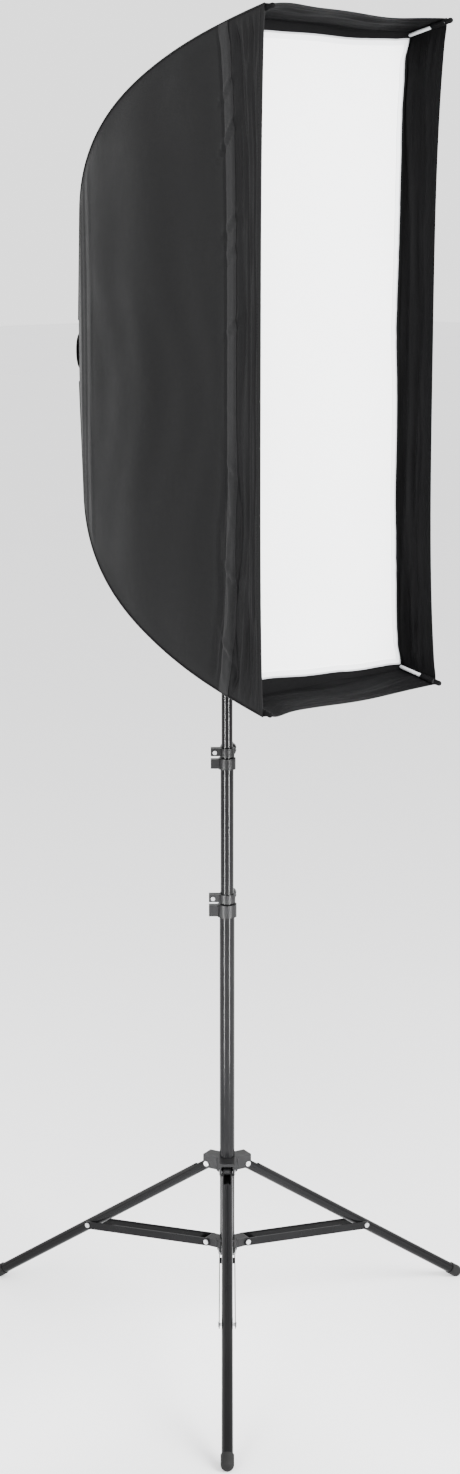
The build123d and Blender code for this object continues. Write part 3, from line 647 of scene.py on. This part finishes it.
def hem_lift(x, z):
    """How far the hem hangs above its straight place: most at the lower left, and below it at
    the upper left."""
    to_left = smooth((0.45 - x / HALF_W) / 1.3)
    low = smooth((-z / HALF_H - 0.45) / 0.5)
    high = smooth((z / HALF_H - 0.45) / 0.5)
    return 13 * MM * to_left * low - 4 * MM * to_left * high


def wall_shift(kind, sign, hand, u):
    """How far the wall's inner face is from its unpulled place at the diffuser's depth, as (x, z)."""
    q = at_depth(np.array([RECESS]))[0]
    share = outline(q)[0]
    other = HALF_H if kind == "side" else HALF_W
    a = hand * share * other * u
    inner = shrink(wall(kind, sign, a, q + 0 * u), FABRIC) - ORIGIN
    plain_x, plain_z = HALF_W * share - FABRIC, HALF_H * share - FABRIC
    if kind == "side":
        return inner[..., 0] - sign * plain_x, inner[..., 2] - hand * plain_z * u
    return inner[..., 0] - hand * plain_x * u, inner[..., 2] - sign * plain_z


def front_sector(name, kind, sign, hand, halves_in, halves_out, rows, columns,
                 lift, thickness, fade, materials, last_from):
    """One eighth of a ring round the front's middle, between two rectangles given by their half
    sizes. It shifts with the wall beside it, and fade is how fast that dies out inwards. The last
    material starts at the share last_from of the way out."""
    r = np.linspace(0, 1, rows)[:, None]
    u = np.linspace(0, 1, columns)[None, :] ** CROWDING
    half_x = halves_in[0] + (halves_out[0] - halves_in[0]) * r
    half_z = halves_in[1] + (halves_out[1] - halves_in[1]) * r
    if kind == "side":
        x, z = sign * half_x + 0 * u, hand * half_z * u
    else:
        x, z = hand * half_x * u, sign * half_z + 0 * u
    shift_x, shift_z = wall_shift(kind, sign, hand, u)
    # the skirt hangs with the hem at its inner edge and keeps to the wall at its outer one
    hangs = 1 - r if name.startswith("front_skirt") else 1 + 0 * r

    def surface(px, pz):
        depth = front_depth(px, pz) - lift
        up = pz + shift_z * r ** fade + hangs * hem_lift(px, pz)
        return np.stack([px + shift_x * r ** fade, depth, up], -1) + ORIGIN

    step = 5e-4
    slope_x = surface(x + step, z) - surface(x - step, z)
    slope_z = surface(x, z + step) - surface(x, z - step)
    normals = np.cross(slope_x, slope_z)
    normals /= np.linalg.norm(normals, axis=-1, keepdims=True)
    outer = surface(x, z)
    inner = outer + (0, thickness, 0)
    index = np.repeat(np.where(r < last_from, 0.0, len(materials) - 1.0), columns, 1)
    return shell(name, outer, inner, normals, np.stack([x, z], -1), materials, 0 * x, index)


def front_pieces():
    """Diffuser, hem tape and skirt, each in eight parts that meet at the groins and middles."""
    share = outline(at_depth(np.array([RECESS])))[0][0]
    wall_half = (HALF_W * share - FABRIC, HALF_H * share - FABRIC)
    core = (CORE_SHARE * WINDOW_HALF[0], CORE_SHARE * WINDOW_HALF[1])
    # inner and outer half sizes, rows, lift, thickness, fade, materials, where the last one starts
    rings = {
        "diffuser": (core, (WINDOW_HALF[0] + MM, WINDOW_HALF[1] + MM), 44, 0.0, 0.6 * MM, 2, [WHITE], 1),
        # the hem's white part carries painted shade: a little darker than the diffuser at the recessed edge
        "hem_tape": (WINDOW_HALF, HEM_HALF, 9, 0.8 * MM, 1.9 * MM, 0, [HEM_WHITE_PAINTED_SHADE, HEM], 0.75),
        "front_skirt": (HEM_HALF, wall_half, 4, 0.0, 0.8 * MM, 0, [LIP], 1),
    }
    for ring, (inside, outside, rows, lift, thickness, fade, materials, last_from) in rings.items():
        for _, half_name, kind, sign, hand in halves():
            columns = FRONT_COLUMNS[kind]
            piece = front_sector(f"{ring}_{half_name}", kind, sign, hand, inside, outside, rows, columns,
                                 lift, thickness, fade, materials, last_from)
            along = 1 if kind == "side" else 0
            width = outside[1 - along] - inside[1 - along]
            if ring == "front_skirt" and kind == "end":
                # at the left the hem hangs away from both end walls, so the skirt is wider there
                edge_x = hand * inside[0] * np.linspace(0, 1, columns)
                width -= sign * float(hem_lift(edge_x, sign * inside[1] + 0 * edge_x).mean())
            node, slot = "diffuser_hem", "grey_hem"
            if ring == "diffuser":
                node, slot = "diffuser", "white_diffuser"
            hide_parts(node)
            bend_with_corner(piece)


front_pieces()


# ---------------------------------------------------------------- stitches, piping and binding

def stitch_row(kind, sign, hand, depth, lift, pitch):
    """Stitches along a wall's ring at one depth: (points, faces), each a slim pointed bead."""
    q = at_depth(np.array([depth]))[0]
    share = outline(q)[0]
    reach = share * (HALF_H if kind == "side" else HALF_W)
    a = hand * np.arange(pitch / 2, reach - 4 * MM, pitch)
    rows = q + 0 * a
    middle = wall(kind, sign, a, rows, lift)
    normal = wall_normals(kind, sign, a, rows, lift)
    ahead = wall(kind, sign, a + 0.33 * pitch, rows, lift) - middle
    beside = np.cross(normal, ahead)
    beside /= np.linalg.norm(beside, axis=-1, keepdims=True)
    corners = [middle - ahead, middle + ahead, middle + STITCH_HALF * normal, middle + STITCH_HALF * beside,
               middle - STITCH_HALF * normal, middle - STITCH_HALF * beside]
    points = np.stack(corners, 1).reshape(-1, 3)
    bead = np.array([(0, 2, 3), (0, 3, 4), (0, 4, 5), (0, 5, 2), (1, 3, 2), (1, 4, 3), (1, 5, 4), (1, 2, 5)])
    faces = (np.arange(len(a))[:, None, None] * 6 + bead[None]).reshape(-1, 3)
    return points, faces


def with_cloth_places(piece):
    """UVs in metres for a small piece, from its own points."""
    layer = piece.data.uv_layers.new(name="UVMap")
    points = np.array([v.co for v in piece.data.vertices])
    loops = np.array([loop.vertex_index for loop in piece.data.loops])
    flat = np.stack([points[loops, 0] + points[loops, 1], points[loops, 2] + points[loops, 1]], -1)
    layer.data.foreach_set("uv", flat.reshape(-1))


def stitch_pieces():
    """Stitch rows at the lip's hem, along both edges of the band and just behind it."""
    rows = ((HEM_DEPTH - 1.6 * MM, 0.3 * MM), (BAND[0] + 2 * MM, BAND_LIFT), (BAND[1] - 2 * MM, BAND_LIFT),
            (BAND[1] + 5 * MM, 0.1 * MM))
    for _, half_name, kind, sign, hand in halves():
        points, faces, count = [], [], 0
        for depth, lift in rows:
            more, triangles = stitch_row(kind, sign, hand, depth, lift, STITCH_PITCH)
            points.append(more)
            faces.append(triangles + count)
            count += len(more)
        piece = new_object(f"stitches_{half_name}", np.concatenate(points), np.concatenate(faces), [THREAD])
        with_cloth_places(piece)
        bend_with_corner(piece)


def tube_along(name, path, wide, thick, up, materials):
    """A closed tube of oval section along a path, with its thick side towards up at each point."""
    ahead = np.gradient(path, axis=0)
    ahead /= np.linalg.norm(ahead, axis=1, keepdims=True)
    side = np.cross(ahead, up)
    side /= np.linalg.norm(side, axis=1, keepdims=True)
    over = np.cross(side, ahead)
    turns = np.linspace(0, 2 * pi, 11)[:-1]
    ring = (path[:, None] + wide * np.cos(turns)[None, :, None] * side[:, None]
            + thick * np.sin(turns)[None, :, None] * over[:, None])
    count = len(turns)
    faces = []
    for k in range(len(path) - 1):
        for j in range(count):
            follow = (j + 1) % count
            faces.append((k * count + j, k * count + follow, (k + 1) * count + follow, (k + 1) * count + j))
    faces.append(tuple(range(count))[::-1])
    faces.append(tuple((len(path) - 1) * count + j for j in range(count)))
    piece = new_object(name, ring.reshape(-1, 3), faces, materials)
    with_cloth_places(piece)
    return piece


def piping_pieces():
    """A sewn ridge along each groin, from the lip's front corner to the elbow and the hub."""
    q = np.concatenate([[0.0], at_depth(np.linspace(3, 466, 90) * MM), np.linspace(1.0, 2.0, 12)])
    share, depth = outline(q)
    for name, (sx, sz) in CORNERS.items():
        up = sz * HALF_H * share
        path = np.stack([sx * HALF_W * share, depth - slack(up, depth), up], -1) + ORIGIN
        outward = np.stack([sx + 0 * q, 0.6 * depth, sz * 0.6 + 0 * q], -1)
        piece = tube_along(f"piping_{name}", path, *PIPING, outward, [NYLON])
        bend_with_corner(piece)


def pocket_pieces():
    """A black pocket round each rib's front end, sewn into the lip's corner."""
    parameter = np.linspace(0.0, 0.036, 9)
    share, depth = bezier(parameter)
    depth = depth - RIB_DEPTH_INSET * (1 - (1 - parameter) ** 3) - 1.0 * MM
    for name, (sx, sz) in CORNERS.items():
        path = np.stack([sx * (HALF_W - RIB_INSET) * share, depth,
                         sz * (HALF_H - RIB_INSET) * share], -1) + ORIGIN
        inward = np.tile(np.array([-sx, 0.0, -sz]), (len(path), 1))
        piece = tube_along(f"rib_pocket_{name}", path, *RIB_POCKET, inward, [LIP])
        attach(piece, f"rib_{name}")


def slot_binding_pieces():
    """Bound edge of the slot that the pole passes through, in two halves."""
    turn = np.linspace(-pi / 2, pi / 2, 13)
    straight = SLOT_HALF_LENGTH - SLOT_HALF_WIDTH
    rear = np.stack([SLOT_HALF_WIDTH * np.cos(turn), straight + SLOT_HALF_WIDTH * np.sin(turn)], -1)[6:]
    run = np.stack([np.full(20, SLOT_HALF_WIDTH), np.linspace(-straight, straight, 20)], -1)
    front = rear[::-1] * (1, -1)
    half = np.concatenate([front, run[1:-1], rear])
    for hand in (1, -1):
        a = hand * half[:, 0]
        q = at_depth(SLOT_MIDDLE + half[:, 1])
        path = wall("end", -1, a, q, -0.5 * FABRIC)
        normals = wall_normals("end", -1, a, q, 0.0)
        piece = tube_along(f"slot_binding_{RIGHT_LEFT[hand]}", path, *SLOT_BINDING, normals, [TAPE])
        bend_with_corner(piece)


def rivet_bush_pieces():
    """A black spacer round each leg's rivet, inside the tube's open top."""
    for place in ("front", "right", "rear"):
        low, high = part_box(f"foot_cap_{place}")
        foot = np.array([(low[0] + high[0]) / 2 - POLE_X, (low[1] + high[1]) / 2 - POLE_Y])
        outward = foot / np.linalg.norm(foot)
        across = np.array([-outward[1], outward[0], 0.0])
        centre = np.array([POLE_X + outward[0] * LEG_PIVOT[0],
                           POLE_Y + outward[1] * LEG_PIVOT[0], LEG_PIVOT[1]])
        steps = np.array([-5.6, -5.2, 0.0, 5.2, 5.6])[:, None] * MM
        up = np.tile(np.array([0.0, 0.0, 1.0]), (5, 1))
        piece = tube_along(f"rivet_bush_{place}", centre + steps * across, BUSH_RADIUS, BUSH_RADIUS, up,
                           [PLASTIC])
        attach(piece, f"leg_{place}")


def rear_patch():
    """Reinforcing patch sewn over the hub, narrower than it is tall."""
    radii = np.array([13.0, 14.0, 24.0, 30.0, 31.5, 32.0]) * MM
    heights = np.array([0.2, 1.4, 1.5, 1.4, 1.1, 0.0]) * MM
    turns = np.linspace(0, 2 * pi, 65)[:-1]
    base = FRONT_Y + PATCH[1] - 0.1 * MM
    points, faces = [], []
    for lift, radius in zip(heights, radii):
        for turn in turns:
            flat = 0.35 * (radius / radii[-1]) * abs(cos(turn))
            points.append((POLE_X + radius * cos(turn) * (1 - flat), base + lift, BOX_Z + radius * sin(turn)))
    count = len(turns)
    for k in range(len(radii) - 1):
        for j in range(count):
            follow = (j + 1) % count
            faces.append((k * count + j, (k + 1) * count + j, (k + 1) * count + follow, k * count + follow))
    piece = new_object("rear_patch", points, faces, [TAPE])
    solid_up = piece.modifiers.new("thickness", "SOLIDIFY")
    solid_up.thickness = TAPE_THICKNESS
    with_cloth_places(piece)
    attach(piece, "softbox")


stitch_pieces()
piping_pieces()
pocket_pieces()
slot_binding_pieces()
rivet_bush_pieces()
rear_patch()


# ---------------------------------------------------------------- soft edges on the moulded parts

def soften_edges():
    """A small bevel on every moulded, cast or pressed part."""
    widths = {"clamp": 0.9, "collar": 0.9, "knob": 0.5, "bracket": 0.8, "brace_": 0.35, "shoe": 0.3,
              "lever": 0.8, "cap": 0.6, "rivet": 0.3, "bolt": 0.3, "hub": 0.5, "runner": 0.5}
    for name, node_object in frame["nodes"].items():
        for word, width in widths.items():
            if word in name:
                bevel = node_object.modifiers.new("soft_edges", "BEVEL")
                bevel.width = width * MM
                bevel.segments = 3
                bevel.limit_method = "ANGLE"
                bevel.angle_limit = radians(38)
                bevel.harden_normals = False
                break


soften_edges()


# ---------------------------------------------------------------- camera, light and floor

VIEW_AZIMUTH = radians(43.63)
CAMERA_DISTANCE = 3.479
CAMERA_HEIGHT = 1.640
CAMERA_TILT = radians(11.7)
CAMERA_PAN = radians(-0.07)
VERTICAL_VIEW = radians(33.16)


def camera():
    data = bpy.data.cameras.new("camera")
    data.sensor_fit = "VERTICAL"
    data.angle = VERTICAL_VIEW
    view = bpy.data.objects.new("camera", data)
    view.location = (POLE_X - CAMERA_DISTANCE * sin(VIEW_AZIMUTH),
                     POLE_Y - CAMERA_DISTANCE * cos(VIEW_AZIMUTH), CAMERA_HEIGHT)
    view.rotation_euler = Euler((pi / 2 - CAMERA_TILT, 0, -VIEW_AZIMUTH + CAMERA_PAN))
    bpy.context.scene.collection.objects.link(view)
    bpy.context.scene.camera = view


def area_light(name, azimuth, height, distance, size, power, spread=180, aim_height=1.0):
    """A soft lamp at an azimuth, height and distance, aimed at the pole's line at aim_height."""
    data = bpy.data.lights.new(name, "AREA")
    data.shape = "RECTANGLE"
    data.size, data.size_y = size
    data.energy = power
    data.spread = radians(spread)
    lamp = bpy.data.objects.new(name, data)
    turn = radians(azimuth)
    lamp.location = (POLE_X - distance * sin(turn), POLE_Y - distance * cos(turn), height)
    aim = Vector((POLE_X, POLE_Y, aim_height)) - lamp.location
    lamp.rotation_euler = aim.to_track_quat("-Z", "Y").to_euler()
    lamp.visible_camera = False
    bpy.context.scene.collection.objects.link(lamp)


def floor():
    s = Shader("floor", Roughness=0.8)
    s.colour(s.mix(s.noise(0.8, 3), (0.86, 0.86, 0.87), (0.89, 0.89, 0.895)))
    edge = 30.0
    plane = new_object("floor", [(-edge, -edge, 0), (edge, -edge, 0), (edge, edge, 0), (-edge, edge, 0)],
                       [(0, 1, 2, 3)], [s.material])


def world():
    surroundings = bpy.data.worlds.new("studio")
    surroundings.use_nodes = True
    background = surroundings.node_tree.nodes["Background"]
    background.inputs["Color"].default_value = (1, 1, 1, 1)
    background.inputs["Strength"].default_value = 2.0
    bpy.context.scene.world = surroundings


camera()
floor()
world()
area_light("key", -12, 2.3, 3.0, (1.8, 2.2), 340)
area_light("left", 80, 1.7, 2.6, (1.0, 2.0), 75)
area_light("rear", 150, 1.8, 2.8, (1.0, 2.0), 12)
for streak, streak_azimuth in (("left_streak", 86), ("middle_streak", 6)):
    area_light(streak, streak_azimuth, 0.475, 0.95, (0.07, 0.75), 7, spread=50, aim_height=0.475)
